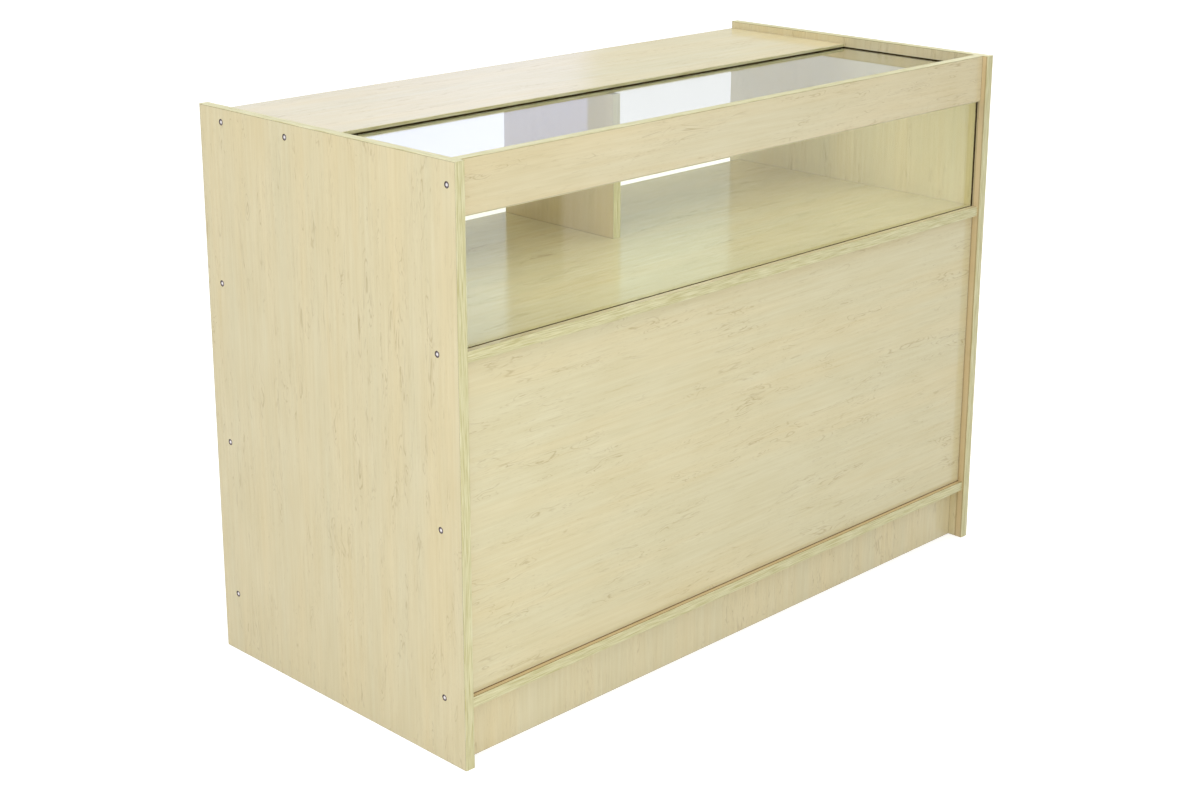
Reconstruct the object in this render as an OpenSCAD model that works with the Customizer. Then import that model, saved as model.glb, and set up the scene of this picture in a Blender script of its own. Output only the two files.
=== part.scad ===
// Shop counter: a glazed display space over closed-front storage that opens at the back.
// Front faces -Y. Origin: bottom centre. Millimetres.

/* [Counter] */
// Width over the side panels
counter_w = 1200; // [800:10:1600]
// Depth of the side panels
counter_d = 570; // [500:5:700]
// Height of the side panels
counter_h = 870; // [820:5:1000]

/* [Boards] */
// Thickness of every board
board_t = 16; // [15:0.5:19]
// Thickness of the edge bands
band_t = 1; // [0.4:0.1:2]

/* [Heights] */
// Drop of the top board's face below the side panels' top edges
top_drop = 13; // [5:1:25]
// Height of the front top rail
rail_h = 78; // [60:1:100]
// Height of the display deck's face above the floor
deck_z = 610; // [560:5:680]
// Height of the bottom shelf's face above the floor
shelf_z = 106; // [80:2:140]

/* [Depths] */
// Depth of the top board
top_board_d = 266; // [200:2:320]
// Recess of the front top rail behind the side panels' front edges
rail_recess = 10; // [4:1:16]
// Recess of the display deck's front edge
deck_recess = 4; // [0:1:6]
// Recess of the lower front panel
panel_recess = 14; // [8:1:20]
// Recess of the bottom shelf's front edge
shelf_recess = 4; // [0:1:7]
// Recess of the kickboard
kick_recess = 28; // [15:1:60]
// Inset of the rear edges of deck and shelves from the side panels' rear edges
rear_inset = 20; // [0:1:40]

/* [Divider] */
// Place of the divider's middle along the width, from the counter's middle
divider_x = -9; // [-200:1:200]
// Reach of the divider in front of the top board's front edge
divider_lead = 14; // [0:1:40]
// Inset of the divider's rear edge from the deck's rear edge
divider_rear = 4; // [0:1:20]

/* [Glass] */
// Thickness of both panes
glass_t = 4; // [4:0.5:5]
// Play of a pane across its groove
glass_play = 2; // [0.5:0.1:2]
// Depth of the grooves in the side panels, the deck and the top board
groove_depth = 6; // [4:0.5:7]
// Depth of the groove in the rail's lower edge
rail_groove_depth = 10; // [8:0.5:14]
// Gap between a pane's edge and the bottom of its groove
pane_gap = 0.8; // [0.3:0.1:0.9]

/* [Connector screws] */
// Length of a screw
screw_l = 50; // [40:1:60]
// Diameter of the head
screw_head_d = 9.6; // [9:0.1:11]
// Straight rim of the head
screw_rim = 1; // [0.5:0.1:1.5]
// Height of the cone under the head
screw_cone = 2.4; // [1.5:0.1:3]
// Diameter of the shank that fills the side panel
screw_shank_d = 7; // [6:0.1:7.5]
// Mean diameter of the thread that fills the board's end
screw_thread_d = 6; // [5:0.1:6]
// Length of the point
screw_tip = 4; // [2:0.5:6]
// Diameter of the point's blunt end
screw_end_d = 2; // [1:0.1:4]
// Depth of the heads below the side panel's face
screw_sink = 0.4; // [0.1:0.1:1]
// Width across the flats of the hexagon socket
socket_af = 4; // [3:0.5:4.5]
// Depth of the socket
socket_depth = 3; // [2:0.5:3.5]
// Setback of the front screws from the front edge of deck and bottom shelf
screw_front = 40; // [20:1:60]
// Setback of the storage shelf's front screw behind the lower panel
screw_mid_front = 14; // [12:1:40]
// Setback of the rear screws from the rear edge of deck and shelves
screw_rear = 15; // [12:1:60]
// Setback of the top board's front screw from its front edge
top_screw_front = 60; // [30:1:90]
// Setback of the top board's rear screw from its rear edge
top_screw_rear = 53; // [20:1:80]
// Drop of the rail's screw below the rail's top edge
rail_screw_drop = 33; // [30:1:38]
// Setback of the divider's screws from its front and rear edges
divider_screw = 45; // [20:1:70]

/* [Dowels] */
// Diameter of a dowel
dowel_d = 8; // [6:1:8]
// Length of a dowel
dowel_l = 30; // [25:1:40]
// Depth of a dowel in a board's face
dowel_sink = 11; // [8:1:12]
// Chamfer of a dowel's ends
dowel_chamfer = 1; // [0.5:0.1:1.5]
// Free depth past each end of a dowel
dowel_end_gap = 0.8; // [0.3:0.1:0.9]
// Height of the rail's dowel above the rail's lower edge
rail_dowel_up = 22; // [20:1:26]
// Distance of the outer dowels from the lower panel's upper and lower edges
panel_dowel_edge = 60; // [20:1:120]
// Number of dowels at each end of the lower panel
panel_dowels = 3; // [2:1:5]
// Distance of the dowels from the kickboard's upper and lower edges
kick_dowel_edge = 22; // [12:1:26]
// Distance of the divider's dowels from the top board's front edge and the divider's rear edge
divider_dowel_edge = 35; // [15:1:60]

/* [Fits] */
// Radial clearance of screws and dowels in their holes
hole_gap = 0.05; // [0.02:0.01:0.1]

/* [Hidden] */
$fn = 48;
// Overcut of every groove and hole past the face that it opens in
over = 1;

// Side panels: inner and outer faces, front and rear edges
outer_x = counter_w / 2;
inner_x = outer_x - board_t;
front_y = -counter_d / 2;
rear_y = counter_d / 2;

// Heights of the boards
rail_z = counter_h - rail_h;
top_z = counter_h - top_drop;
top_under_z = top_z - board_t;
deck_under_z = deck_z - board_t;
shelf_under_z = shelf_z - board_t;
mid_z = (deck_under_z + shelf_z) / 2;

// Front and rear edges of the boards
rail_y = front_y + rail_recess;
rail_back_y = rail_y + board_t;
top_y = rear_y - top_board_d;
deck_y = front_y + deck_recess;
panel_y = front_y + panel_recess;
panel_back_y = panel_y + board_t;
shelf_y = front_y + shelf_recess;
kick_y = front_y + kick_recess;
board_rear_y = rear_y - rear_inset;
divider_y = top_y - divider_lead;
divider_rear_y = board_rear_y - divider_rear;
divider_left_x = divider_x - board_t / 2;
divider_right_x = divider_x + board_t / 2;

// Grooves, each along the middle of the board's thickness
groove_w = glass_t + glass_play;
front_pane_y = rail_y + board_t / 2;
top_groove_z = top_under_z + board_t / 2;
deck_groove_z = deck_z - groove_depth;
top_groove_front_y = rail_back_y - groove_depth;
top_groove_rear_y = top_y + groove_depth;
groove_x = inner_x + groove_depth;
front_groove_top_z = rail_z + rail_groove_depth;

// Panes: the top one lies on its groove, the front one stands on its groove
pane_x = groove_x - pane_gap;
top_pane_z = top_groove_z - groove_w / 2;
front_pane_top_z = front_groove_top_z - groove_depth - pane_gap;

// Screws of one side as [y, z]
screw_front_y = deck_y + screw_front;
screw_rear_y = board_rear_y - screw_rear;
top_screws = [[top_y + top_screw_front, top_groove_z], [rear_y - top_screw_rear, top_groove_z]];
rail_screws = [[front_pane_y, counter_h - rail_screw_drop]];
deck_screws = [for (y = [screw_front_y, screw_rear_y]) [y, deck_z - board_t / 2]];
mid_screws = [for (y = [panel_back_y + screw_mid_front, screw_rear_y]) [y, mid_z]];
shelf_screws = [for (y = [shelf_y + screw_front, screw_rear_y]) [y, shelf_z - board_t / 2]];
side_screws = concat(top_screws, rail_screws, deck_screws, mid_screws, shelf_screws);

// Screws that hold the divider, as y
divider_screws_y = [divider_y + divider_screw, divider_rear_y - divider_screw];

// Dowels of one side as [y, z]
rail_dowel = [[front_pane_y, rail_z + rail_dowel_up]];
panel_h = deck_under_z - shelf_z;
panel_dowel_step = (panel_h - 2 * panel_dowel_edge) / (panel_dowels - 1);
panel_dowel = [for (i = [0 : panel_dowels - 1])
    [panel_y + board_t / 2, shelf_z + panel_dowel_edge + i * panel_dowel_step]];
kick_dowel = [for (z = [kick_dowel_edge, shelf_under_z - kick_dowel_edge]) [kick_y + board_t / 2, z]];
divider_dowels_y = [top_y + divider_dowel_edge, divider_rear_y - divider_dowel_edge];

// Colours as the photo shows them
maple = [0.87, 0.82, 0.66];
band_colour = [0.82, 0.80, 0.59];
glass_colour = [0.80, 0.86, 0.84, 0.35];
zinc = [0.47, 0.42, 0.49];
beech = [0.80, 0.66, 0.46];

// A block between its lowest and highest corners
module block(low, high) {
    translate(low) cube(high - low);
}

// A copy at each side of the counter
module both_sides() {
    children();
    mirror([1, 0, 0]) children();
}

// A connector screw with its head's face at the origin and its point down -Z,
// wider by gap all round and with its head's rim drawn up by rise
module screw_body(gap = 0, rise = 0) {
    rotate_extrude() polygon([
        [0, rise],
        [screw_head_d / 2 + gap, rise],
        [screw_head_d / 2 + gap, -screw_rim],
        [screw_shank_d / 2 + gap, -screw_rim - screw_cone],
        [screw_shank_d / 2 + gap, screw_sink - board_t],
        [screw_thread_d / 2 + gap, screw_sink - board_t],
        [screw_thread_d / 2 + gap, screw_tip - screw_l],
        [screw_end_d / 2 + gap, -screw_l - gap],
        [0, -screw_l - gap]]);
}

module screw() {
    difference() {
        screw_body();
        translate([0, 0, -socket_depth])
            cylinder(d = socket_af / cos(30), h = socket_depth + over, $fn = 6);
    }
}

// A dowel along +Z with chamfered ends
module dowel() {
    r = dowel_d / 2;
    blunt = r - dowel_chamfer;
    rotate_extrude() polygon([[0, 0], [blunt, 0], [r, dowel_chamfer], [r, dowel_l - dowel_chamfer],
        [blunt, dowel_l], [0, dowel_l]]);
}

// Room of a dowel
module dowel_hole() {
    translate([0, 0, -dowel_end_gap]) cylinder(d = dowel_d + 2 * hole_gap, h = dowel_l + 2 * dowel_end_gap);
}

// Children at the right side panel's screw places, heads outward
module at_screws(places) {
    for (p = places) translate([outer_x - screw_sink, p[0], p[1]]) rotate([0, 90, 0]) children();
}

// Children at the right side panel's dowel places, pointing to the middle of the counter
module at_dowels(places) {
    for (p = places) translate([inner_x + dowel_sink, p[0], p[1]]) rotate([0, -90, 0]) children();
}

module at_divider_screws() {
    for (y = divider_screws_y)
        translate([divider_x, y, deck_under_z + screw_sink]) rotate([180, 0, 0]) children();
}

module at_divider_dowels() {
    for (y = divider_dowels_y)
        translate([divider_x, y, top_under_z + dowel_sink]) rotate([180, 0, 0]) children();
}

module screw_holes(places) {
    both_sides() at_screws(places) screw_body(hole_gap, screw_sink + over);
}

module dowel_holes(places) {
    both_sides() at_dowels(places) dowel_hole();
}

// Room of the top pane: a groove in the side panels, the rail and the top board
module top_pane_groove() {
    block([-groove_x, top_groove_front_y, top_pane_z], [groove_x, top_groove_rear_y, top_pane_z + groove_w]);
}

// Room of the front pane: a groove in the side panels, the deck and the rail
module front_pane_groove() {
    block([-groove_x, front_pane_y - groove_w / 2, deck_groove_z],
        [groove_x, front_pane_y + groove_w / 2, front_groove_top_z]);
}

// The right side panel; the left one is its mirror image
module side_panel() {
    color(maple) difference() {
        block([inner_x, front_y + band_t, 0], [outer_x, rear_y - band_t, counter_h - band_t]);
        screw_holes(side_screws);
        dowel_holes(concat(rail_dowel, panel_dowel, kick_dowel));
        top_pane_groove();
        front_pane_groove();
    }
}

module side_front_band() {
    color(band_colour) block([inner_x, front_y, 0], [outer_x, front_y + band_t, counter_h - band_t]);
}

module side_top_band() {
    color(band_colour) block([inner_x, front_y, counter_h - band_t], [outer_x, rear_y, counter_h]);
}

module side_rear_band() {
    color(band_colour) block([inner_x, rear_y - band_t, 0], [outer_x, rear_y, counter_h - band_t]);
}

module top_board() {
    color(maple) difference() {
        block([-inner_x, top_y + band_t, top_under_z], [inner_x, rear_y - band_t, top_z]);
        screw_holes(top_screws);
        top_pane_groove();
        at_divider_dowels() dowel_hole();
    }
}

module top_board_front_band() {
    color(band_colour) difference() {
        block([-inner_x, top_y, top_under_z], [inner_x, top_y + band_t, top_z]);
        top_pane_groove();
    }
}

module top_board_rear_band() {
    color(band_colour) block([-inner_x, rear_y - band_t, top_under_z], [inner_x, rear_y, top_z]);
}

module front_top_rail() {
    color(maple) difference() {
        block([-inner_x, rail_y, rail_z + band_t], [inner_x, rail_back_y, counter_h - band_t]);
        screw_holes(rail_screws);
        dowel_holes(rail_dowel);
        top_pane_groove();
        front_pane_groove();
    }
}

module rail_top_band() {
    color(band_colour) block([-inner_x, rail_y, counter_h - band_t], [inner_x, rail_back_y, counter_h]);
}

module rail_bottom_band() {
    color(band_colour) difference() {
        block([-inner_x, rail_y, rail_z], [inner_x, rail_back_y, rail_z + band_t]);
        front_pane_groove();
    }
}

module top_glass() {
    color(glass_colour) block([-pane_x, top_groove_front_y + pane_gap, top_pane_z],
        [pane_x, top_groove_rear_y - pane_gap, top_pane_z + glass_t]);
}

module front_glass() {
    color(glass_colour) block([-pane_x, front_pane_y - glass_t / 2, deck_groove_z],
        [pane_x, front_pane_y + glass_t / 2, front_pane_top_z]);
}

module display_deck() {
    color(maple) difference() {
        block([-inner_x, deck_y + band_t, deck_under_z], [inner_x, board_rear_y - band_t, deck_z]);
        screw_holes(deck_screws);
        at_divider_screws() screw_body(hole_gap, screw_sink + over);
        front_pane_groove();
    }
}

module deck_front_band() {
    color(band_colour) block([-inner_x, deck_y, deck_under_z], [inner_x, deck_y + band_t, deck_z]);
}

module deck_rear_band() {
    color(band_colour)
        block([-inner_x, board_rear_y - band_t, deck_under_z], [inner_x, board_rear_y, deck_z]);
}

module display_divider() {
    color(maple) difference() {
        block([divider_left_x, divider_y + band_t, deck_z],
            [divider_right_x, divider_rear_y - band_t, top_under_z]);
        at_divider_screws() screw_body(hole_gap);
        at_divider_dowels() dowel_hole();
    }
}

module divider_front_band() {
    color(band_colour)
        block([divider_left_x, divider_y, deck_z], [divider_right_x, divider_y + band_t, top_under_z]);
}

module divider_rear_band() {
    color(band_colour) block([divider_left_x, divider_rear_y - band_t, deck_z],
        [divider_right_x, divider_rear_y, top_under_z]);
}

module lower_front_panel() {
    color(maple) difference() {
        block([-inner_x, panel_y, shelf_z], [inner_x, panel_back_y, deck_under_z]);
        dowel_holes(panel_dowel);
    }
}

module storage_shelf() {
    color(maple) difference() {
        block([-inner_x, panel_back_y, mid_z - board_t / 2],
            [inner_x, board_rear_y - band_t, mid_z + board_t / 2]);
        screw_holes(mid_screws);
    }
}

module storage_shelf_rear_band() {
    color(band_colour) block([-inner_x, board_rear_y - band_t, mid_z - board_t / 2],
        [inner_x, board_rear_y, mid_z + board_t / 2]);
}

module bottom_shelf() {
    color(maple) difference() {
        block([-inner_x, shelf_y + band_t, shelf_under_z], [inner_x, board_rear_y - band_t, shelf_z]);
        screw_holes(shelf_screws);
    }
}

module bottom_shelf_front_band() {
    color(band_colour) block([-inner_x, shelf_y, shelf_under_z], [inner_x, shelf_y + band_t, shelf_z]);
}

module bottom_shelf_rear_band() {
    color(band_colour)
        block([-inner_x, board_rear_y - band_t, shelf_under_z], [inner_x, board_rear_y, shelf_z]);
}

module kickboard() {
    color(maple) difference() {
        block([-inner_x, kick_y, 0], [inner_x, kick_y + board_t, shelf_under_z]);
        dowel_holes(kick_dowel);
    }
}

module right_connector_screws() {
    color(zinc) at_screws(side_screws) screw();
}

module divider_screws() {
    color(zinc) at_divider_screws() screw();
}

module end_dowels(places) {
    color(beech) both_sides() at_dowels(places) dowel();
}

module divider_dowels() {
    color(beech) at_divider_dowels() dowel();
}

mirror([1, 0, 0]) side_panel();  // left_side_panel
mirror([1, 0, 0]) side_front_band();  // left_side_front_band
mirror([1, 0, 0]) side_top_band();  // left_side_top_band
mirror([1, 0, 0]) side_rear_band();  // left_side_rear_band
side_panel();  // right_side_panel
side_front_band();  // right_side_front_band
side_top_band();  // right_side_top_band
side_rear_band();  // right_side_rear_band
top_board();
top_board_front_band();
top_board_rear_band();
front_top_rail();
rail_top_band();
rail_bottom_band();
top_glass();
front_glass();
display_deck();
deck_front_band();
deck_rear_band();
display_divider();
divider_front_band();
divider_rear_band();
lower_front_panel();
storage_shelf();
storage_shelf_rear_band();
bottom_shelf();
bottom_shelf_front_band();
bottom_shelf_rear_band();
kickboard();
mirror([1, 0, 0]) right_connector_screws();  // left_connector_screws
right_connector_screws();
divider_screws();
end_dowels(rail_dowel);  // rail_dowels
end_dowels(panel_dowel);  // lower_panel_dowels
end_dowels(kick_dowel);  // kickboard_dowels
divider_dowels();
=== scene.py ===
import math

import bmesh
import bpy
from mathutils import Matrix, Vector


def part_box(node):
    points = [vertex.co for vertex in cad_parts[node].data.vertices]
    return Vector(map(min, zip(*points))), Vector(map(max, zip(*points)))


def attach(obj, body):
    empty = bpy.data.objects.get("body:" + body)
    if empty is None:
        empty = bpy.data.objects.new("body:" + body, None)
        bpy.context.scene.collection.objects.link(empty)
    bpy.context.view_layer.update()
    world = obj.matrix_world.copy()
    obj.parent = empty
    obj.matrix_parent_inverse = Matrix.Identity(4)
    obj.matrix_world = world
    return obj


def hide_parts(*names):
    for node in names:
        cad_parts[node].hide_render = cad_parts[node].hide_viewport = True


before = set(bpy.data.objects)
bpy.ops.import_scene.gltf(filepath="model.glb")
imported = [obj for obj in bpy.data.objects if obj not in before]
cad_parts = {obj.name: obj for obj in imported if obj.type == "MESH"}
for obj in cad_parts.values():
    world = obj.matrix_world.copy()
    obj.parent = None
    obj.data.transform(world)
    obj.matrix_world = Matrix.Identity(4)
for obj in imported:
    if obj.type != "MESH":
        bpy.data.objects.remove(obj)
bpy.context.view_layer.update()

body = "root"  # nothing on the counter moves, so it has one body
axisNumber = {"X": 0, "Y": 1, "Z": 2}
weldDistance = 1e-6  # corners of a CAD mesh that lie nearer than this are one corner


def screenColour(red, green, blue):
    # a colour as it shows on screen, in the linear values that the shaders take
    values = [channel / 255 for channel in (red, green, blue)]
    return tuple(((v + 0.055) / 1.055) ** 2.4 if v > 0.04045 else v / 12.92 for v in values) + (1.0,)


# Small helpers for node trees: most of them add one node and give back its output

def newMaterial(name):
    material = bpy.data.materials.new(name)
    material.use_nodes = True
    material.node_tree.nodes.clear()
    return material, material.node_tree


def feed(tree, socket, value):
    # value is a number or a colour, an output, or a node whose first output is meant
    if isinstance(value, bpy.types.Node):
        value = value.outputs[0]
    if isinstance(value, bpy.types.NodeSocket):
        tree.links.new(value, socket)
    elif value is not None:
        socket.default_value = value


def calculate(tree, operation, first, second=None, third=None):
    step = tree.nodes.new("ShaderNodeMath")
    step.operation = operation
    for socket, value in zip(step.inputs, (first, second, third)):
        feed(tree, socket, value)
    return step.outputs[0]


def plus(tree, first, second):
    return calculate(tree, "ADD", first, second)


def less(tree, first, second):
    return calculate(tree, "SUBTRACT", first, second)


def times(tree, first, second):
    return calculate(tree, "MULTIPLY", first, second)


def ramp(tree, value, start, end):
    # start where value is 0, end where it is 1
    return calculate(tree, "MULTIPLY_ADD", value, end - start, start)


def ease(tree, value, low, high):
    # 0 up to low, 1 from high on, and softly from one to the other between them
    step = tree.nodes.new("ShaderNodeMapRange")
    step.interpolation_type = "SMOOTHSTEP"
    for socket, number in zip(step.inputs, (value, low, high)):
        feed(tree, socket, number)
    return step.outputs[0]


def vectorOf(tree, x, y, z):
    step = tree.nodes.new("ShaderNodeCombineXYZ")
    for socket, value in zip(step.inputs, (x, y, z)):
        feed(tree, socket, value)
    return step.outputs[0]


def split(tree, vector):
    # the vector's X, Y and Z as separate outputs
    step = tree.nodes.new("ShaderNodeSeparateXYZ")
    tree.links.new(vector, step.inputs[0])
    return list(step.outputs)


def objectPlace(tree):
    return tree.nodes.new("ShaderNodeTexCoord").outputs["Object"]


def mixColours(tree, factor, first, second, blend="MIX"):
    step = tree.nodes.new("ShaderNodeMix")
    step.data_type = "RGBA"
    step.blend_type = blend
    # by number, because its inputs for numbers, vectors and colours share their names
    for number, value in ((0, factor), (6, first), (7, second)):
        feed(tree, step.inputs[number], value)
    return step.outputs[2]


def multiply(tree, colour, shades):
    # each channel of the colour times its own shade
    return mixColours(tree, 1.0, colour, vectorOf(tree, *shades), "MULTIPLY")


def noiseAt(tree, vector, scale, shift=(0, 0, 0), detail=2.0, roughness=0.5, distortion=0.0):
    place = tree.nodes.new("ShaderNodeMapping")
    feed(tree, place.inputs["Vector"], vector)
    place.inputs["Location"].default_value = shift
    place.inputs["Scale"].default_value = scale
    step = tree.nodes.new("ShaderNodeTexNoise")
    feed(tree, step.inputs["Vector"], place)
    step.inputs["Scale"].default_value = 1.0
    step.inputs["Detail"].default_value = detail
    step.inputs["Roughness"].default_value = roughness
    step.inputs["Distortion"].default_value = distortion
    return step.outputs["Fac"]


def surfaceOf(tree, colour, roughness, bump=None, bumpHeight=0.0, **settings):
    # a setting's name is that of the shader's input, with its spaces as underscores
    shader = tree.nodes.new("ShaderNodeBsdfPrincipled")
    feed(tree, shader.inputs["Base Color"], colour)
    feed(tree, shader.inputs["Roughness"], roughness)
    for name, value in settings.items():
        shader.inputs[name.replace("_", " ")].default_value = value
    if bump is not None:
        relief = tree.nodes.new("ShaderNodeBump")
        relief.inputs["Distance"].default_value = bumpHeight
        feed(tree, relief.inputs["Height"], bump)
        feed(tree, shader.inputs["Normal"], relief)
    output = tree.nodes.new("ShaderNodeOutputMaterial")
    feed(tree, output.inputs["Surface"], shader)
    return shader, output


# Helpers for meshes and objects

def weldedCopy(node):
    # a CAD node's mesh is loose triangles, so their corners are joined
    mesh = bmesh.new()
    mesh.from_mesh(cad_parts[node].data)
    bmesh.ops.remove_doubles(mesh, verts=mesh.verts, dist=weldDistance)
    return mesh


def addObject(name, data):
    thing = bpy.data.objects.new(name, data)
    bpy.context.scene.collection.objects.link(thing)
    return thing


def pieceFrom(mesh, name, materials):
    data = bpy.data.meshes.new(name)
    mesh.normal_update()
    mesh.to_mesh(data)
    mesh.free()
    for material in materials:
        data.materials.append(material)
    return addObject(name, data)


def finishNode(name, material):
    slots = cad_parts[name].data.materials
    slots.clear()
    slots.append(material)


# Maple-effect melamine on chipboard. Each layer of the print is a noise whose size is in metres, along the
# grain and across it. A layer's range is where its marks fade in, and its ink is how strong they are.
maple = {
    "ground": (222, 210, 170),
    "warm": (225, 210, 166),
    "cool": (219, 210, 173),
    "vein": (170, 149, 100),
    "pore": (177, 160, 112),
    # how far each channel goes when the print gets lighter or darker, in its broad parts and in its fibres
    "swings": {"broad": (0.68, 0.95, 1.75), "fine": (0.92, 1.0, 1.30)},
    "tones": {
        "size": (0.70, 0.060), "detail": 3.0, "roughness": 0.55,
        "warmRange": (0.48, 0.72), "coolRange": (0.52, 0.30), "ink": 0.8,
    },
    "streaks": {"size": (0.16, 0.0060), "swing": "broad", "reach": 0.095},
    "fibres": {"size": (0.060, 0.0011), "detail": 3.0, "roughness": 0.6, "swing": "fine", "reach": 0.07},
    "clouds": {"size": (0.11, 0.055), "swing": "broad", "reach": 0.055},
    "dashes": {"size": (0.030, 0.0024), "distortion": 0.6, "range": (0.54, 0.70), "ink": 0.14},
    "dashPatches": {"size": (0.140, 0.022), "detail": 1.0, "range": (0.48, 0.62)},
    "ringPatches": {"size": (0.22, 0.06), "detail": 1.0, "range": (0.36, 0.54)},
    "ringBreaks": {"size": (0.050, 0.009), "range": (0.40, 0.58)},
    "rings": (
        {"size": (0.170, 0.026), "shift": (0.0, 0.0), "count": 19.0, "ink": 0.46},
        {"size": (0.080, 0.017), "shift": (3.7, 8.9), "count": 15.0, "ink": 0.38},
    ),
    "ringNoise": {"detail": 2.5, "roughness": 0.45, "distortion": 0.35},
    "ringPeak": (0.52, 0.64),  # rings are drawn only this high up their noise
    "ringThinness": 6.0,
    "pores": {"size": (0.012, 0.0016), "detail": 1.0, "range": (0.60, 0.74), "ink": 0.20},
    "roughness": 0.15,
    "specular": 0.35,
    "relief": 0.00010,
    "fibreRelief": 0.2,  # of the fibres, against the chips of a cut face
    "laminate": 0.0003,
    "rim": 0.0005,  # the print is worn off along each cut edge
    "rimWear": 0.6,
    # painted shade: the core is far darker than bare chipboard, for the shade in the grooves where it shows
    "shadedCoreLight": (100, 70, 32),
    "shadedCoreDark": (40, 26, 8),
    "coreRoughness": 1.0,
    "chipSize": 0.0022,
}


def ink(tree, colour, amount, strength, name):
    # one of the print's colours laid over the board's, where amount says so
    return mixColours(tree, times(tree, amount, strength), colour, screenColour(*maple[name]))


def mapleTones(tree, figure, lean, tint, contrast):
    # broad warm and cool stripes, then streaks, fibres and clouds; lean makes the board warmer or cooler
    tones = maple["tones"]
    tone = plus(tree, figure(tones), lean)
    colour = screenColour(*maple["ground"])
    colour = ink(tree, colour, ease(tree, tone, *tones["warmRange"]), tones["ink"], "warm")
    colour = ink(tree, colour, ease(tree, tone, *tones["coolRange"]), tones["ink"], "cool")
    colour = multiply(tree, colour, tint)
    layers = {name: figure(maple[name]) for name in ("streaks", "fibres", "clouds")}
    for name, amount in layers.items():
        reach = maple[name]["reach"] * contrast
        swing = maple["swings"][maple[name]["swing"]]
        colour = multiply(tree, colour, [ramp(tree, amount, 1 - reach * s, 1 + reach * s) for s in swing])
    return colour, layers["fibres"]


def mapleVeins(tree, figure, marks, colour, contrast):
    # short thin dashes, gathered in patches
    dashes = times(tree, marks("dashes"), marks("dashPatches"))
    colour = ink(tree, colour, dashes, maple["dashes"]["ink"] * contrast, "vein")

    # growth rings: nested thin lines round the peaks of a long noise, and only parts of them inked
    inked = marks("ringPatches")
    breaks = marks("ringBreaks")
    for rings in maple["rings"]:
        hill = figure({**maple["ringNoise"], **rings})
        wave = calculate(tree, "SINE", times(tree, hill, rings["count"] * 2 * math.pi))
        line = calculate(tree, "MULTIPLY_ADD", wave, 0.5, 0.5)
        line = calculate(tree, "POWER", line, maple["ringThinness"])
        line = times(tree, times(tree, line, ease(tree, hill, *maple["ringPeak"])), breaks)
        colour = ink(tree, colour, times(tree, line, inked), rings["ink"] * contrast, "vein")

    # short strokes of the pores, in the same parts
    return ink(tree, colour, times(tree, marks("pores"), inked), maple["pores"]["ink"], "pore")


def cutShare(tree, axes, board, face):
    # 1 between the board's two printed faces, and a part of that in a hairline round each of them
    low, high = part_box(board)
    halves = [(high[axis] - low[axis]) / 2 for axis in range(3)]
    offsets = [less(tree, axes[axis], (low[axis] + high[axis]) / 2) for axis in range(3)]
    offsets = [calculate(tree, "ABSOLUTE", offset) for offset in offsets]
    cut = calculate(tree, "LESS_THAN", offsets[face], halves[face] - maple["laminate"])
    for axis in (axis for axis in range(3) if axis != face):
        edge = calculate(tree, "GREATER_THAN", offsets[axis], halves[axis] - maple["rim"])
        cut = calculate(tree, "MAXIMUM", cut, times(tree, edge, maple["rimWear"]))
    return cut


def chipboard(tree, position):
    # the colour of the chips, painted far darker than bare chipboard as shade for the grooves and cut edges,
    # and how high they stand
    chips = tree.nodes.new("ShaderNodeTexVoronoi")
    chips.inputs["Scale"].default_value = 1 / maple["chipSize"]
    tree.links.new(position, chips.inputs["Vector"])
    dark, light = screenColour(*maple["shadedCoreDark"]), screenColour(*maple["shadedCoreLight"])
    return mixColours(tree, chips.outputs["Color"], dark, light), chips.outputs["Distance"]


def mapleFinish(board, grain, faceAxis, shift, lean, tint, contrast):
    # the finish of one board: maple print on its two faces, chipboard with painted shade wherever the board
    # is cut
    material, tree = newMaterial("maple_" + board)
    position = objectPlace(tree)
    axes = split(tree, position)
    along, face = axisNumber[grain], axisNumber[faceAxis]
    across = sum(axisNumber.values()) - along - face  # the axis that is left
    flat = vectorOf(tree, axes[along], axes[across], 0.0)

    def figure(layer):
        more = layer.get("shift", (0.0, 0.0))
        place = (shift[0] + more[0], shift[1] + more[1], 0.0)
        scale = (1 / layer["size"][0], 1 / layer["size"][1], 1.0)
        settings = {name: layer[name] for name in ("detail", "roughness", "distortion") if name in layer}
        return noiseAt(tree, flat, scale, place, **settings)

    def marks(name):
        return ease(tree, figure(maple[name]), *maple[name]["range"])

    colour, fibres = mapleTones(tree, figure, lean, tint, contrast)
    colour = mapleVeins(tree, figure, marks, colour, contrast)
    cut = cutShare(tree, axes, board, face)
    core, chipHeight = chipboard(tree, position)
    # the cut parts take the core's painted shade
    colour = mixColours(tree, cut, colour, core)
    # painted shade in the inner corners in front of the lower panel
    if board in shadedLedges:
        colour = paintedLedgeShade(tree, colour, axes, board, face)
    roughness = ramp(tree, cut, maple["roughness"], maple["coreRoughness"])
    relief = calculate(tree, "MULTIPLY_ADD", fibres, maple["fibreRelief"], times(tree, cut, chipHeight))
    surfaceOf(tree, colour, roughness, relief, maple["relief"], Specular_IOR_Level=maple["specular"])
    return material


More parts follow.
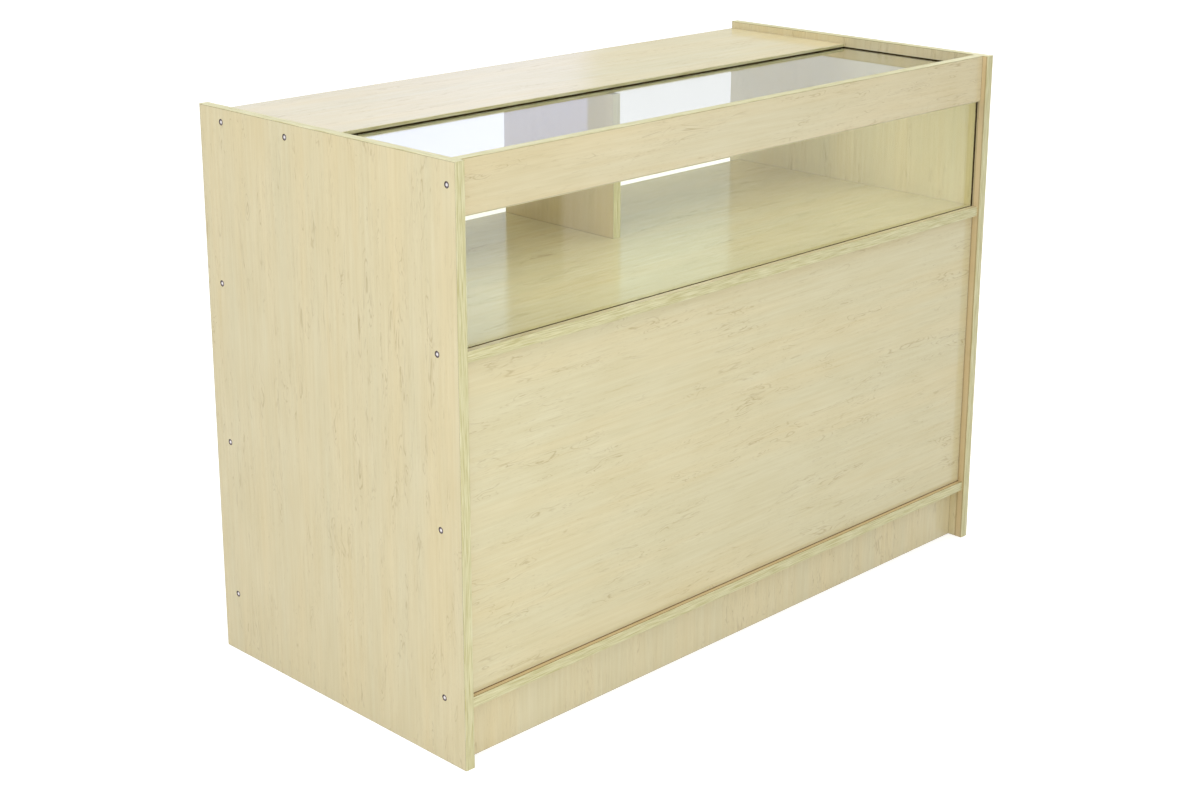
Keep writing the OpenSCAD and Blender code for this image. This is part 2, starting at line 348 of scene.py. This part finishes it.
# Narrow strips in the counter's inner corners, with painted shade: darker and browned as by light bounced
# between the boards, with painted shadow lines along them. For each: how far in front of the lower panel's
# face it starts, on which side of its board's middle it lies, how brown it is, and how dark the lines along
# its two sides are
shadedLedges = {
    "bottom_shelf": {"reach": 0.0105, "side": 1, "tone": (194, 160, 104), "amount": 0.50, "lines": 0.85},
    "left_side_panel": {"reach": 0.0135, "side": 1, "tone": (200, 162, 108), "amount": 0.45, "lines": 0.20},
    "right_side_panel": {"reach": 0.0135, "side": -1, "tone": (210, 176, 124), "amount": 0.42, "lines": 0.32},
}
ledgeEnd = 0.0005  # each strip ends this far behind the panel's face
# painted shadow lines along each strip's two sides
ledgeShadowLine = {"width": 0.0026, "tone": (112, 78, 34)}


def paintedLedgeShade(tree, colour, axes, board, face):
    # painted shade on the strip, then painted shadow lines along its two sides
    ledge = shadedLedges[board]
    low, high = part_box(board)
    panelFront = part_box("lower_front_panel")[0].y
    start, end = panelFront - ledge["reach"], panelFront + ledgeEnd
    y = axes[axisNumber["Y"]]
    offset = less(tree, axes[face], (low[face] + high[face]) / 2)
    inward = calculate(tree, "GREATER_THAN", times(tree, offset, ledge["side"]), 0.0)
    inside = calculate(tree, "GREATER_THAN", y, start)
    inside = times(tree, inside, calculate(tree, "LESS_THAN", y, end))
    inside = times(tree, inside, inward)
    colour = mixColours(tree, times(tree, inside, ledge["amount"]), colour, screenColour(*ledge["tone"]))
    fromCentre = calculate(tree, "ABSOLUTE", less(tree, y, (start + end) / 2))
    line = calculate(tree, "GREATER_THAN", fromCentre, (end - start) / 2 - ledgeShadowLine["width"])
    line = times(tree, times(tree, line, inside), ledge["lines"])
    return mixColours(tree, line, colour, screenColour(*ledgeShadowLine["tone"]))


# Edge bands: a plain greenish strip with fine lines along it
edging = {
    "ground": (209, 203, 155),
    "dark": (191, 183, 127),
    "light": (223, 218, 178),
    "lineSize": (0.040, 0.0013),  # along the band and across it
    "lightRange": (0.50, 0.66),
    "darkRange": (0.50, 0.34),
    "shadeSize": 4,  # broad shades are this many times as large as the lines
    "shades": (0.92, 1.08),
    "roughness": 0.38,
    "relief": 0.00006,
    "arris": 0.0007,
    "arrisSteps": 3,
    "flatAngle": math.radians(1),  # triangles that meet at less than this are one flat face
    "skinDepth": 1e-5,  # edges within this of the band's outermost face are its outer ones
}


def edgingFinish(grain):
    material, tree = newMaterial("edging_along_" + grain.lower())
    position = objectPlace(tree)
    scale = [1 / edging["lineSize"][1]] * 3
    scale[axisNumber[grain]] = 1 / edging["lineSize"][0]
    lines = noiseAt(tree, position, scale, roughness=0.6)
    tone = noiseAt(tree, position, [v / edging["shadeSize"] for v in scale])
    ground, dark, light = [screenColour(*edging[name]) for name in ("ground", "dark", "light")]
    colour = mixColours(tree, ease(tree, lines, *edging["lightRange"]), ground, light)
    colour = mixColours(tree, ease(tree, lines, *edging["darkRange"]), colour, dark)
    colour = multiply(tree, colour, [ramp(tree, tone, *edging["shades"])] * 3)
    surfaceOf(tree, colour, edging["roughness"], lines, edging["relief"])
    return material


def arrisedBand(node, grain, outward):
    # the CAD strip with its two long outer edges rounded; outward is an axis with its sign, such as "-Y"
    run, out = axisNumber[grain], axisNumber[outward[1]]
    sign = -1 if outward[0] == "-" else 1
    mesh = weldedCopy(node)
    bmesh.ops.dissolve_limit(mesh, angle_limit=edging["flatAngle"], verts=mesh.verts, edges=mesh.edges)
    skin = max(sign * v.co[out] for v in mesh.verts)

    def isOuter(edge):
        first, second = edge.verts
        onSkin = all(skin - sign * v.co[out] < edging["skinDepth"] for v in edge.verts)
        lengthwise = abs(first.co[run] - second.co[run]) > edge.calc_length() / 2
        return onSkin and lengthwise

    outer = [edge for edge in mesh.edges if isOuter(edge)]
    bmesh.ops.bevel(mesh, geom=outer, offset=edging["arris"], segments=edging["arrisSteps"], profile=0.5,
        affect="EDGES", clamp_overlap=True)
    return pieceFrom(mesh, node + "_arrised", [finishes["edging" + grain]])


# Panes of clear float glass with ground edges
pane = {
    "arris": 0.0005,
    "lift": 0.00005,  # keeps the pane's underside off the groove's face
    "lampTint": (0.97, 0.98, 0.97, 1.0),  # at each face, for the light of lamps
    "ior": 1.5,
    "edgeGrit": 0.0006,
    "edgeRange": (0.35, 0.70),
    "edgeRoughness": 0.5,
    "edgeSpecular": 0.1,
    "edgeRelief": 0.00004,
    "polished": 0.99,  # faces turned nearer than this to the pane's thin axis are polished, the rest ground
}
# The ground edges are painted dark olive, a painted shade that stands in for the light entering them from
# deep in the glass
panes = {
    "top_glass": {"tint": (0.82, 0.845, 0.87, 1.0), "edgeDark": (60, 54, 22), "edgeLight": (120, 112, 66)},
    "front_glass": {"tint": (0.868, 0.892, 0.768, 1.0), "edgeDark": (20, 17, 4), "edgeLight": (34, 31, 12)},
}


def glassFinish(node):
    material, tree = newMaterial("clear_" + node)
    shader, output = surfaceOf(tree, panes[node]["tint"], 0.0, Transmission_Weight=1.0, IOR=pane["ior"])
    clear = tree.nodes.new("ShaderNodeBsdfTransparent")
    clear.inputs["Color"].default_value = pane["lampTint"]
    rays = tree.nodes.new("ShaderNodeLightPath").outputs
    choice = tree.nodes.new("ShaderNodeMixShader")  # lamps shine through the panes
    for socket, value in zip(choice.inputs, (rays["Is Shadow Ray"], shader, clear)):
        feed(tree, socket, value)
    feed(tree, output.inputs["Surface"], choice)
    return material


def groundEdgeFinish(node):
    material, tree = newMaterial("ground_edge_" + node)
    grit = noiseAt(tree, objectPlace(tree), [1 / pane["edgeGrit"]] * 3)
    # painted shade: dark olive in place of the light that passes through the glass
    dark, light = [screenColour(*panes[node][name]) for name in ("edgeDark", "edgeLight")]
    colour = mixColours(tree, ease(tree, grit, *pane["edgeRange"]), dark, light)
    surfaceOf(tree, colour, pane["edgeRoughness"], grit, pane["edgeRelief"],
        Specular_IOR_Level=pane["edgeSpecular"])
    return material


def glassPane(node):
    low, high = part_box(node)
    size = high - low
    thin = min(range(3), key=lambda axis: size[axis])
    mesh = bmesh.new()
    bmesh.ops.create_cube(mesh, size=1.0)
    for vertex in mesh.verts:
        vertex.co = Vector([low[i] + (vertex.co[i] + 0.5) * size[i] for i in range(3)])
        vertex.co.z += pane["lift"]
    bmesh.ops.bevel(mesh, geom=mesh.edges[:], offset=pane["arris"], segments=1, affect="EDGES")
    mesh.normal_update()
    for face in mesh.faces:
        face.material_index = 0 if abs(face.normal[thin]) > pane["polished"] else 1
    return pieceFrom(mesh, node + "_arrised", [glassFinish(node), groundEdgeFinish(node)])


# Zinc-plated connector screws: countersunk head with a hexagon on it, coarse thread
screw = {
    "Head Diameter": 0.0096,
    "Rim Height": 0.0010,
    "Cone Height": 0.0024,
    "Shank Diameter": 0.0068,
    "Shank Length": 0.0156,
    "Core Diameter": 0.0046,
    "Thread Diameter": 0.0060,
    "Thread Pitch": 0.0028,
    "Length": 0.050,
    "Point Length": 0.004,
    "Hexagon Flats": 0.004,
    "Arris": 0.0003,
}
screwMesh = {
    "sides": 32,
    "arrisBulge": 0.3,  # the arris's middle point lies this share of it in from the face and from the side
    "shoulder": 0.00001,  # the shank ends in a step, which takes two depths
    "tip": 0.3,  # the point's end, as a share of the core
    "stepsPerTurn": 20,
    "ridgeSides": 3,
    "wound": 0.94,  # the share of the core that the thread is wound on
    "cutterHeight": 0.0032,  # of the hexagon that marks the head
}
zinc = {
    "face": (126, 115, 122),
    "edge": (68, 60, 64),
    "edgeRange": (0.0034, 0.0046),  # painted shade: the head darkens towards its rim, between these distances from its axis
    # a painted highlight fills the hexagon
    "hexagon": (228, 224, 222),
    "highlightReach": 0.00235,  # the painted highlight reaches just past the hexagon's corners
    "gritScale": 900,
    "shades": (0.85, 1.15),
    "roughness": (0.24, 0.44),
}


def zincFinish():
    material, tree = newMaterial("zinc_plate")
    place = tree.nodes.new("ShaderNodeAttribute")
    place.attribute_name = "fromAxis"
    radius = place.outputs["Fac"]
    grit = noiseAt(tree, objectPlace(tree), [zinc["gritScale"]] * 3)
    face, edge, hexagon = [screenColour(*zinc[name]) for name in ("face", "edge", "hexagon")]
    # painted shade towards the head's rim, then a painted highlight on the hexagon
    colour = mixColours(tree, ease(tree, radius, *zinc["edgeRange"]), face, edge)
    hexagonHighlight = calculate(tree, "LESS_THAN", radius, zinc["highlightReach"])
    colour = mixColours(tree, hexagonHighlight, colour, hexagon)
    colour = multiply(tree, colour, [ramp(tree, grit, *zinc["shades"])] * 3)
    surfaceOf(tree, colour, ramp(tree, grit, *zinc["roughness"]), Metallic=1.0)
    return material


def geometryStep(tree, kind, **inputs):
    # an input's name has its spaces as underscores here
    step = tree.nodes.new("GeometryNode" + kind)
    for name, value in inputs.items():
        feed(tree, step.inputs[name.replace("_", " ")], value)
    return step


def valueByIndex(tree, values):
    # each point of a line gets the value of its own place in the list
    choice = tree.nodes.new("GeometryNodeIndexSwitch")
    choice.data_type = "FLOAT"
    while len(choice.index_switch_items) < len(values):
        choice.index_switch_items.new()
    index = tree.nodes.new("GeometryNodeInputIndex")
    for socket, value in zip(choice.inputs, [index, *values]):
        feed(tree, socket, value)
    return choice.outputs[0]


def turnedScrew(tree, given):
    # the outline as depth and radius, from the head's face to the point, turned round the screw's axis
    arris = given["Arris"]
    bulge = times(tree, arris, screwMesh["arrisBulge"])
    headRadius = times(tree, given["Head Diameter"], 0.5)
    shankRadius = times(tree, given["Shank Diameter"], 0.5)
    coreRadius = times(tree, given["Core Diameter"], 0.5)
    outline = [
        (0.0, less(tree, headRadius, arris)),
        (bulge, less(tree, headRadius, bulge)),
        (arris, headRadius),
        (given["Rim Height"], headRadius),
        (plus(tree, given["Rim Height"], given["Cone Height"]), shankRadius),
        (given["Shank Length"], shankRadius),
        (plus(tree, given["Shank Length"], screwMesh["shoulder"]), coreRadius),
        (less(tree, given["Length"], given["Point Length"]), coreRadius),
        (given["Length"], times(tree, coreRadius, screwMesh["tip"])),
    ]
    depth = times(tree, valueByIndex(tree, [depth for depth, radius in outline]), -1.0)
    radius = valueByIndex(tree, [radius for depth, radius in outline])
    points = geometryStep(tree, "MeshLine", Count=len(outline))
    points = geometryStep(tree, "SetPosition", Geometry=points, Position=vectorOf(tree, 0.0, 0.0, depth))
    axis = geometryStep(tree, "MeshToCurve", Mesh=points)
    circle = geometryStep(tree, "CurvePrimitiveCircle", Resolution=screwMesh["sides"], Radius=1.0)
    return geometryStep(tree, "CurveToMesh", Curve=axis, Profile_Curve=circle, Scale=radius, Fill_Caps=True)


def markedHead(tree, given, turned):
    # the cutter stands on the head's face, so it takes nothing away: it leaves a hexagon's outline there,
    # level with the face, which the finish fills with a painted highlight
    corner = calculate(tree, "DIVIDE", times(tree, given["Hexagon Flats"], 0.5), math.cos(math.radians(30)))
    cutter = geometryStep(tree, "MeshCone", Vertices=6, Radius_Top=corner, Radius_Bottom=corner,
        Depth=screwMesh["cutterHeight"])
    marked = geometryStep(tree, "MeshBoolean", Mesh_1=turned, Mesh_2=cutter)
    marked.operation = "DIFFERENCE"
    marked.solver = "EXACT"
    return marked


def woundThread(tree, given):
    # a ridge wound on the core, from near the shank to where the point starts
    coreRadius = times(tree, given["Core Diameter"], 0.5)
    ridge = times(tree, less(tree, given["Thread Diameter"], given["Core Diameter"]), 0.5)
    shankEnd = plus(tree, given["Shank Length"], screwMesh["shoulder"])
    pointStart = less(tree, given["Length"], given["Point Length"])
    threaded = less(tree, pointStart, shankEnd)
    turns = calculate(tree, "DIVIDE", threaded, given["Thread Pitch"])
    line = geometryStep(tree, "CurveSpiral", Resolution=screwMesh["stepsPerTurn"], Rotations=turns,
        Start_Radius=coreRadius, End_Radius=coreRadius, Height=times(tree, threaded, screwMesh["wound"]))
    section = geometryStep(tree, "CurvePrimitiveCircle", Resolution=screwMesh["ridgeSides"], Radius=ridge)
    thread = geometryStep(tree, "CurveToMesh", Curve=line, Profile_Curve=section, Fill_Caps=True)
    lowest = vectorOf(tree, 0.0, 0.0, times(tree, pointStart, -1.0))
    return geometryStep(tree, "Transform", Geometry=thread, Translation=lowest)


def withRadius(tree, shape):
    # each point keeps how far it lies from the screw's axis, for the finish
    x, y = split(tree, tree.nodes.new("GeometryNodeInputPosition").outputs[0])[:2]
    radius = tree.nodes.new("ShaderNodeVectorMath")
    radius.operation = "LENGTH"
    feed(tree, radius.inputs[0], vectorOf(tree, x, y, 0.0))
    kept = geometryStep(tree, "StoreNamedAttribute", Geometry=shape, Name="fromAxis")
    kept.data_type = "FLOAT"
    kept.domain = "POINT"
    feed(tree, kept.inputs["Value"], radius.outputs["Value"])
    return kept


def connectorScrewTree():
    # one screw along -Z with its head's face at the origin, put at every point and turned to its heading
    tree = bpy.data.node_groups.new("connectorScrews", "GeometryNodeTree")
    tree.interface.new_socket("Places", in_out="INPUT", socket_type="NodeSocketGeometry")
    for name, value in screw.items():
        socket = tree.interface.new_socket(name, in_out="INPUT", socket_type="NodeSocketFloat")
        socket.default_value = value
        socket.subtype = "DISTANCE"
    tree.interface.new_socket("Zinc", in_out="INPUT", socket_type="NodeSocketMaterial")
    tree.interface.new_socket("Screws", in_out="OUTPUT", socket_type="NodeSocketGeometry")
    given = tree.nodes.new("NodeGroupInput").outputs
    result = tree.nodes.new("NodeGroupOutput")

    whole = tree.nodes.new("GeometryNodeJoinGeometry")
    feed(tree, whole.inputs[0], woundThread(tree, given))
    feed(tree, whole.inputs[0], markedHead(tree, given, turnedScrew(tree, given)))
    single = withRadius(tree, whole)
    heading = tree.nodes.new("GeometryNodeInputNamedAttribute")
    heading.data_type = "FLOAT_VECTOR"
    heading.inputs["Name"].default_value = "heading"
    turn = tree.nodes.new("FunctionNodeAlignRotationToVector")
    turn.axis = "Z"
    feed(tree, turn.inputs["Vector"], heading.outputs["Attribute"])
    placed = geometryStep(tree, "InstanceOnPoints", Points=given["Places"], Instance=single, Rotation=turn)
    real = geometryStep(tree, "RealizeInstances", Geometry=placed)
    coated = geometryStep(tree, "SetMaterial", Geometry=real, Material=given["Zinc"])
    feed(tree, result.inputs[0], coated)
    return tree


def solidBoxes(node):
    # the lowest and highest corners of each separate solid in one CAD node
    mesh = weldedCopy(node)
    unseen, boxes = set(mesh.verts), []
    while unseen:
        group, front = [], [unseen.pop()]
        while front:
            vertex = front.pop()
            group.append(vertex.co.copy())
            for edge in vertex.link_edges:
                other = edge.other_vert(vertex)
                if other in unseen:
                    unseen.remove(other)
                    front.append(other)
        boxes.append([Vector([pick(place[i] for place in group) for i in range(3)]) for pick in (min, max)])
    mesh.free()
    return boxes


def connectorScrews(node, heading, tree):
    # one screw in the place of each CAD screw, its head's face outward
    heading = Vector(heading)
    places = []
    for low, high in solidBoxes(node):
        reach = Vector([(high[i] - low[i]) / 2 * heading[i] for i in range(3)])
        places.append((low + high) / 2 + reach)
    data = bpy.data.meshes.new(node + "_places")
    data.from_pydata(places, [], [])
    directions = data.attributes.new("heading", "FLOAT_VECTOR", "POINT")
    for item in directions.data:
        item.vector = heading
    holder = addObject(node + "_places", data)
    modifier = holder.modifiers.new("screws", "NODES")
    modifier.node_group = tree
    values = {**screw, "Zinc": finishes["zinc"]}
    for item in tree.interface.items_tree:
        if item.in_out == "INPUT" and item.name in values:
            modifier[item.identifier] = values[item.name]
    evaluated = holder.evaluated_get(bpy.context.evaluated_depsgraph_get())
    mesh = bpy.data.meshes.new_from_object(evaluated)
    holder.modifiers.remove(modifier)
    bpy.data.objects.remove(holder)
    mesh.name = node + "_turned"
    return addObject(node + "_turned", mesh)


# Beech dowels, out of sight between the boards
beech = {
    "ground": (206, 172, 124),
    "dark": (178, 140, 92),
    "grainSize": (0.030, 0.0012),
    "range": (0.35, 0.65),
    "roughness": 0.7,
    "relief": 0.0001,
}
dowels = ("rail_dowels", "lower_panel_dowels", "kickboard_dowels", "divider_dowels")


def beechFinish():
    material, tree = newMaterial("beech")
    scale = (1 / beech["grainSize"][0], 1 / beech["grainSize"][1], 1 / beech["grainSize"][1])
    grain = noiseAt(tree, objectPlace(tree), scale, detail=3.0)
    dark, ground = screenColour(*beech["dark"]), screenColour(*beech["ground"])
    colour = mixColours(tree, ease(tree, grain, *beech["range"]), dark, ground)
    surfaceOf(tree, colour, beech["roughness"], grain, beech["relief"])
    return material


finishes = {
    "edgingX": edgingFinish("X"),
    "edgingY": edgingFinish("Y"),
    "edgingZ": edgingFinish("Z"),
    "zinc": zincFinish(),
    "beech": beechFinish(),
}

# Each board: the direction of its grain, the axis of its faces, where its print is taken from,
# how warm it is, what its print is multiplied by, and how strong its figure is
boards = {
    "left_side_panel": ("Z", "X", (0.0, 0.0), 0.04, (1.0, 1.0, 1.0), 1.0),
    "right_side_panel": ("Z", "X", (3.1, 7.4), 0.04, (1.01, 1.01, 1.01), 1.0),
    "top_board": ("X", "Z", (5.2, 1.7), 0.0, (0.99, 0.985, 0.98), 1.0),
    "front_top_rail": ("X", "Y", (8.3, 2.9), -0.02, (1.0, 1.0, 1.02), 1.0),
    # the deck's print is darkened and browned: painted shade for the inside of the case
    "display_deck": ("X", "Z", (1.9, 11.3), -0.10, (0.98, 0.955, 0.89), 1.7),
    # the divider's print is darker and browner still, and leant warmer: painted shade for the inside of the
    # case
    "display_divider": ("Z", "X", (6.6, 4.1), 0.20, (0.89, 0.84, 0.78), 1.0),
    "lower_front_panel": ("X", "Y", (2.4, -0.6), -0.10, (0.99, 1.0, 0.985), 1.0),
    "storage_shelf": ("X", "Z", (9.7, 3.3), 0.0, (1.0, 1.0, 1.0), 1.0),
    "bottom_shelf": ("X", "Z", (4.8, 6.2), 0.0, (1.0, 1.0, 1.0), 1.0),
    # the kickboard's print is lightened: painted light against the shade under the bottom shelf's overhang
    "kickboard": ("Z", "Y", (7.5, 5.9), -0.04, (1.05, 1.05, 1.05), 1.0),
}
for board, details in boards.items():
    finishNode(board, mapleFinish(board, *details))
print("boards finished:", len(boards))

# Each band: the direction of its length, and the way that it faces
bands = {
    "left_side_front_band": ("Z", "-Y"),
    "left_side_top_band": ("Y", "+Z"),
    "left_side_rear_band": ("Z", "+Y"),
    "right_side_front_band": ("Z", "-Y"),
    "right_side_top_band": ("Y", "+Z"),
    "right_side_rear_band": ("Z", "+Y"),
    "top_board_front_band": ("X", "-Y"),
    "top_board_rear_band": ("X", "+Y"),
    "rail_top_band": ("X", "+Z"),
    "rail_bottom_band": ("X", "-Z"),
    "deck_front_band": ("X", "-Y"),
    "deck_rear_band": ("X", "+Y"),
    "divider_front_band": ("Z", "-Y"),
    "divider_rear_band": ("Z", "+Y"),
    "storage_shelf_rear_band": ("X", "+Y"),
    "bottom_shelf_front_band": ("X", "-Y"),
    "bottom_shelf_rear_band": ("X", "+Y"),
}
for band, (grain, outward) in bands.items():
    piece = arrisedBand(band, grain, outward)
    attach(piece, body)
    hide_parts(band)
print("edge bands rounded:", len(bands))

for node in panes:
    piece = glassPane(node)
    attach(piece, body)
    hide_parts(node)
print("panes ground:", len(panes))

screwTree = connectorScrewTree()
screwHeadings = {
    "left_connector_screws": (-1, 0, 0),
    "right_connector_screws": (1, 0, 0),
    "divider_screws": (0, 0, -1),
}
for node, heading in screwHeadings.items():
    piece = connectorScrews(node, heading, screwTree)
    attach(piece, body)
    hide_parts(node)
    print("screws turned:", node, len(piece.data.polygons), "faces")

for name in dowels:
    finishNode(name, finishes["beech"])
print("dowels finished:", len(dowels))


def raysOf(tree):
    # the kinds of ray, which of them met no matt surface yet, and which of those left a polished face
    rays = tree.nodes.new("ShaderNodeLightPath").outputs
    direct = calculate(tree, "LESS_THAN", rays["Diffuse Depth"], 0.5)
    return rays, direct, times(tree, rays["Is Glossy Ray"], direct)


paleFloor = {
    "size": 60.0,
    "colour": (208, 208, 208),
    "glow": 0.60,  # what the camera sees of the floor, over its own light
    "paneGlow": 0.62,  # the same, seen through the panes
    "mirroredGlow": 0.52,  # and a painted reflection: the glow that only polished faces see on a wedge of the floor
    "wedgeCorner": (-2.2575, 1.657),  # the glowing wedge, seen from above, starts here
    "wedgeStart": (-46.05, -45.81),  # one side, from none to whole, in degrees from the counter's width
    "wedgeEnd": (-29.93, -37.93),  # the other side, from none to whole
    "dim": 0.16,  # painted shade: what polished faces see of the floor outside the wedge
    "dimRange": (-1.7, -2.6),  # where along Y that floor starts to darken, and where it is dim
}


def buildFloor():
    bpy.ops.mesh.primitive_plane_add(size=paleFloor["size"], location=(0, 0, 0))
    floor = bpy.context.object
    floor.name = "floor"
    material, tree = newMaterial("pale_floor")
    rays, direct, shiny = raysOf(tree)

    # painted reflection: polished faces see a glowing wedge of the floor, and painted shade on the floor
    # beside it
    place = split(tree, objectPlace(tree))
    x, y = [less(tree, place[i], paleFloor["wedgeCorner"][i]) for i in (0, 1)]
    turn = calculate(tree, "DEGREES", calculate(tree, "ARCTAN2", y, x))
    entered = ease(tree, turn, *paleFloor["wedgeStart"])
    glowingWedge = times(tree, entered, ease(tree, turn, *paleFloor["wedgeEnd"]))
    shadedForMirrors = times(tree, shiny, less(tree, 1.0, glowingWedge))
    shadedForMirrors = times(tree, shadedForMirrors, ease(tree, place[1], *paleFloor["dimRange"]))
    paper = screenColour(*paleFloor["colour"])
    shade = [channel * paleFloor["dim"] for channel in paper[:3]] + [1.0]
    diffuse = tree.nodes.new("ShaderNodeBsdfDiffuse")
    feed(tree, diffuse.inputs["Color"], mixColours(tree, shadedForMirrors, paper, shade))

    glow = tree.nodes.new("ShaderNodeEmission")
    seen = times(tree, rays["Is Camera Ray"], paleFloor["glow"])
    # the wedge's painted glow, for polished faces only
    bright = times(tree, less(tree, shiny, shadedForMirrors), paleFloor["mirroredGlow"])
    seen = calculate(tree, "MAXIMUM", seen, bright)
    through = times(tree, rays["Is Transmission Ray"], paleFloor["paneGlow"])
    feed(tree, glow.inputs["Strength"], times(tree, calculate(tree, "MAXIMUM", seen, through), direct))
    both = tree.nodes.new("ShaderNodeAddShader")
    feed(tree, both.inputs[0], diffuse)
    feed(tree, both.inputs[1], glow)
    output = tree.nodes.new("ShaderNodeOutputMaterial")
    feed(tree, output.inputs["Surface"], both)
    floor.data.materials.append(material)


softLight = {
    "level": 0.345,  # light from the studio's walls
    "top": 1.42,  # what its ceiling adds
    "topFocus": 2.0,  # how closely that gathers overhead
    "back": 0.30,  # how much weaker the wall behind the counter is
    "paneGain": 1.52,  # light that comes in through the panes, against their tint
}
# What polished faces see of the walls. Directions are in degrees from the counter's width, heights are sines.
walls = {
    "bright": (0.74, 0.79, 0.97, 1.0),
    "dim": (0.67, 0.68, 0.62, 1.0),
    "dimSpans": ((-130, -46), (0, 45.23)),
    "window": (0.89, 0.94, 1.17, 1.0),  # a bright window beside the dim wall
    "windowSpan": (45.23, 47.43, 52.43),  # where it starts, where it begins to fade, where it ends
    "edge": 0.07,  # half the width over which one wall turns into the next
    "top": (0.245, 0.300),  # from here upward they are all dim
    "step": (47.3, 0.060),  # past this direction that height is greater by this much
}
# Bluish patches on the walls that only the display deck mirrors: where each starts and ends,
# how soft its sides are, from where upward it is there, and its colours below and above a soft step
wallPatches = (
    {
        "span": (41.0, 45.23), "soft": (0.6, 0.07), "foot": (0.206, 0.212), "step": (0.226, 0.246),
        "low": (0.45, 0.47, 0.60, 1.0), "high": (0.77, 0.99, 1.03, 1.0),
    },
    {
        "span": (47.3, 51.0), "soft": (0.07, 0.6), "foot": (0.222, 0.228), "step": (0.256, 0.276),
        "low": (0.94, 1.03, 1.42, 1.0), "high": (1.15, 1.34, 1.54, 1.0),
    },
)


def lightFrom(tree, rays, y, z):
    # a bright ceiling and softer walls
    upward = calculate(tree, "POWER", calculate(tree, "MAXIMUM", z, 0.0), softLight["topFocus"])
    weakest = softLight["level"] * (1 - softLight["back"])
    level = ramp(tree, calculate(tree, "MAXIMUM", y, 0.0), softLight["level"], weakest)
    light = calculate(tree, "MULTIPLY_ADD", upward, softLight["top"], level)
    light = times(tree, light, ramp(tree, rays["Is Transmission Ray"], 1.0, softLight["paneGain"]))
    return vectorOf(tree, light, light, light)


def between(tree, value, start, end, before, after):
    # 1 from start to end and 0 elsewhere, eased over before and after to each side of them
    entered = ease(tree, value, start - before, start + before)
    left = ease(tree, value, end - after, end + after)
    return less(tree, entered, left)


def mirroredWalls(tree, x, y, z):
    turn = calculate(tree, "DEGREES", calculate(tree, "ARCTAN2", y, x))
    soft = walls["edge"]
    dim = 0.0
    for start, end in walls["dimSpans"]:
        dim = plus(tree, dim, between(tree, turn, start, end, soft, soft))
    gloss = mixColours(tree, dim, walls["bright"], walls["dim"])
    start, fading, end = walls["windowSpan"]
    window = times(tree, ease(tree, turn, start - soft, start + soft), ease(tree, turn, end, fading))
    gloss = mixColours(tree, window, gloss, walls["window"])
    start, rise = walls["step"]
    height = calculate(tree, "MULTIPLY_ADD", ease(tree, turn, start - soft, start + soft), -rise, z)
    gloss = mixColours(tree, ease(tree, height, *walls["top"]), gloss, walls["dim"])
    for patch in wallPatches:
        inside = between(tree, turn, *patch["span"], *patch["soft"])
        inside = times(tree, inside, ease(tree, z, *patch["foot"]))
        shade = mixColours(tree, ease(tree, z, *patch["step"]), patch["low"], patch["high"])
        gloss = mixColours(tree, inside, gloss, shade)
    return gloss


def buildSky():
    # white for whatever shows it directly, walls for polished faces, and soft light for the rest
    world = bpy.data.worlds.new("studio")
    bpy.context.scene.world = world
    world.use_nodes = True
    tree = world.node_tree
    tree.nodes.clear()
    rays, direct, shiny = raysOf(tree)
    x, y, z = split(tree, tree.nodes.new("ShaderNodeTexCoord").outputs["Generated"])
    seen = calculate(tree, "MAXIMUM", rays["Is Camera Ray"], rays["Is Transmission Ray"])
    seen = times(tree, seen, direct)
    colour = mixColours(tree, shiny, lightFrom(tree, rays, y, z), mirroredWalls(tree, x, y, z))
    backdrop = tree.nodes.new("ShaderNodeBackground")
    feed(tree, backdrop.inputs["Color"], mixColours(tree, seen, colour, (1.0, 1.0, 1.0, 1.0)))
    output = tree.nodes.new("ShaderNodeOutputWorld")
    feed(tree, output.inputs["Surface"], backdrop)


lamps = {
    "side": {"place": (-1.9, 0.2, 2.3), "size": 1.4, "power": 10.2},
    "front": {"place": (-1.7, -2.3, 0.95), "size": 1.4, "power": 22.0},
    "far": {"place": (2.6, 0.4, 1.5), "size": 1.4, "power": 9.0},
}
lampTarget = Vector((0.0, 0.0, 0.45))


def buildLamp(name):
    data = bpy.data.lights.new(name, "AREA")
    data.shape = "SQUARE"
    data.size = lamps[name]["size"]
    data.energy = lamps[name]["power"]
    lamp = addObject(name, data)
    lamp.location = lamps[name]["place"]
    aim = lampTarget - lamp.location
    lamp.rotation_euler = aim.to_track_quat("-Z", "Y").to_euler()


# The photograph's camera, found from the counter's own edges
viewpoint = {
    "location": (-2.2575, -2.1951, 1.4178),
    "heading": 45.122,  # degrees from the counter's depth towards its width
    "pitch": 16.168,  # degrees below level
    "roll": -0.104,
    "lens": 60.48,
    "sensor": 36.0,
    "shiftY": -0.0833,  # the photo is framed below its own optical axis
    "farEnd": 200.0,  # past the floor's edge
}


def buildCamera():
    data = bpy.data.cameras.new("viewpoint")
    data.sensor_fit = "HORIZONTAL"
    data.sensor_width = viewpoint["sensor"]
    data.lens = viewpoint["lens"]
    data.shift_y = viewpoint["shiftY"]
    data.clip_end = viewpoint["farEnd"]
    camera = addObject("viewpoint", data)
    camera.location = viewpoint["location"]
    angles = (90.0 - viewpoint["pitch"], viewpoint["roll"], -viewpoint["heading"])
    camera.rotation_euler = [math.radians(angle) for angle in angles]
    bpy.context.scene.camera = camera


buildFloor()
buildSky()
for name in lamps:
    buildLamp(name)
buildCamera()
bpy.context.scene.view_settings.view_transform = "Standard"
print("studio ready")
